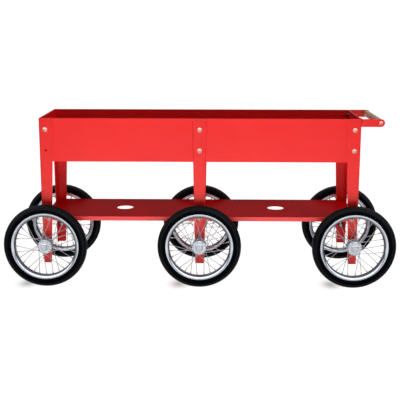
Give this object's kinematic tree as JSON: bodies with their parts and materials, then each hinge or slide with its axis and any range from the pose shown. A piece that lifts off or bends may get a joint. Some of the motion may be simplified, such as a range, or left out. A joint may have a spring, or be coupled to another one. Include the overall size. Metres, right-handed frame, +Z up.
{
  "type": "flower cart stand",
  "caption": "Long open sheet-metal trough on spoked wheels, with tapered legs, a lower shelf with round holes and a short push handle with a wooden grip, for showing flowers.",
  "frame": {"origin": "on the floor below the middle of the cart", "axes": "+X along the cart towards the push handle, +Z up, -Y is the front seen in the picture"},
  "size_m": [1.429, 0.4572, 0.615],
  "materials": {
    "red_paint": "glossy powder coat over folded steel sheet",
    "wood": "turned hardwood, satin varnish",
    "zinc": "zinc-plated steel fasteners",
    "tyre": "black rubber with a block tread",
    "chrome": "chromed steel rim",
    "spoke_steel": "plated steel wire with brass-type nipples",
    "hub_zinc": "zinc-plated turned steel"
  },
  "bodies": {
    "frame": {"side_panel_front_left": "red_paint", "side_panel_front_right": "red_paint", "side_panel_rear_left": "red_paint", "side_panel_rear_right": "red_paint", "end_panel_left": "red_paint", "end_panel_right": "red_paint", "floor_panel_left": "red_paint", "floor_panel_right": "red_paint", "floor_brace": "red_paint", "floor_rivets": "red_paint", "leg_front_left": "red_paint", "leg_front_middle": "red_paint", "leg_front_right": "red_paint", "leg_rear_left": "red_paint", "leg_rear_middle": "red_paint", "leg_rear_right": "red_paint", "shelf_left": "red_paint", "shelf_right": "red_paint", "handle_arm_front": "red_paint", "handle_arm_rear": "red_paint", "handle_grip": "wood", "frame_bolts": "zinc", "frame_nuts": "zinc", "shelf_bolts": "zinc", "shelf_nuts": "zinc", "end_bolts": "zinc", "end_nuts": "zinc", "grip_screws": "zinc", "axle_nuts": "zinc", "wheel_fl_axle": "zinc", "wheel_fm_axle": "zinc", "wheel_fr_axle": "zinc", "wheel_rl_axle": "zinc", "wheel_rm_axle": "zinc", "wheel_rr_axle": "zinc"},
    "wheel_fl": {"wheel_fl_tyre": "tyre", "wheel_fl_rim": "chrome", "wheel_fl_spokes": "spoke_steel", "wheel_fl_hub": "hub_zinc"},
    "wheel_fm": {"wheel_fm_tyre": "tyre", "wheel_fm_rim": "chrome", "wheel_fm_spokes": "spoke_steel", "wheel_fm_hub": "hub_zinc"},
    "wheel_fr": {"wheel_fr_tyre": "tyre", "wheel_fr_rim": "chrome", "wheel_fr_spokes": "spoke_steel", "wheel_fr_hub": "hub_zinc"},
    "wheel_rl": {"wheel_rl_tyre": "tyre", "wheel_rl_rim": "chrome", "wheel_rl_spokes": "spoke_steel", "wheel_rl_hub": "hub_zinc"},
    "wheel_rm": {"wheel_rm_tyre": "tyre", "wheel_rm_rim": "chrome", "wheel_rm_spokes": "spoke_steel", "wheel_rm_hub": "hub_zinc"},
    "wheel_rr": {"wheel_rr_tyre": "tyre", "wheel_rr_rim": "chrome", "wheel_rr_spokes": "spoke_steel", "wheel_rr_hub": "hub_zinc"}
  },
  "joints": [
    {"name": "wheel_fl_spin", "type": "hinge", "parent": "frame", "child": "wheel_fl", "pos_m": [-0.562, -0.191, 0.1525], "axis": [0, 1, 0], "continuous": true},
    {"name": "wheel_fm_spin", "type": "hinge", "parent": "frame", "child": "wheel_fm", "pos_m": [0, -0.191, 0.1525], "axis": [0, 1, 0], "continuous": true},
    {"name": "wheel_fr_spin", "type": "hinge", "parent": "frame", "child": "wheel_fr", "pos_m": [0.562, -0.191, 0.1525], "axis": [0, 1, 0], "continuous": true},
    {"name": "wheel_rl_spin", "type": "hinge", "parent": "frame", "child": "wheel_rl", "pos_m": [-0.562, 0.191, 0.1525], "axis": [0, 1, 0], "continuous": true},
    {"name": "wheel_rm_spin", "type": "hinge", "parent": "frame", "child": "wheel_rm", "pos_m": [0, 0.191, 0.1525], "axis": [0, 1, 0], "continuous": true},
    {"name": "wheel_rr_spin", "type": "hinge", "parent": "frame", "child": "wheel_rr", "pos_m": [0.562, 0.191, 0.1525], "axis": [0, 1, 0], "continuous": true}
  ]
}
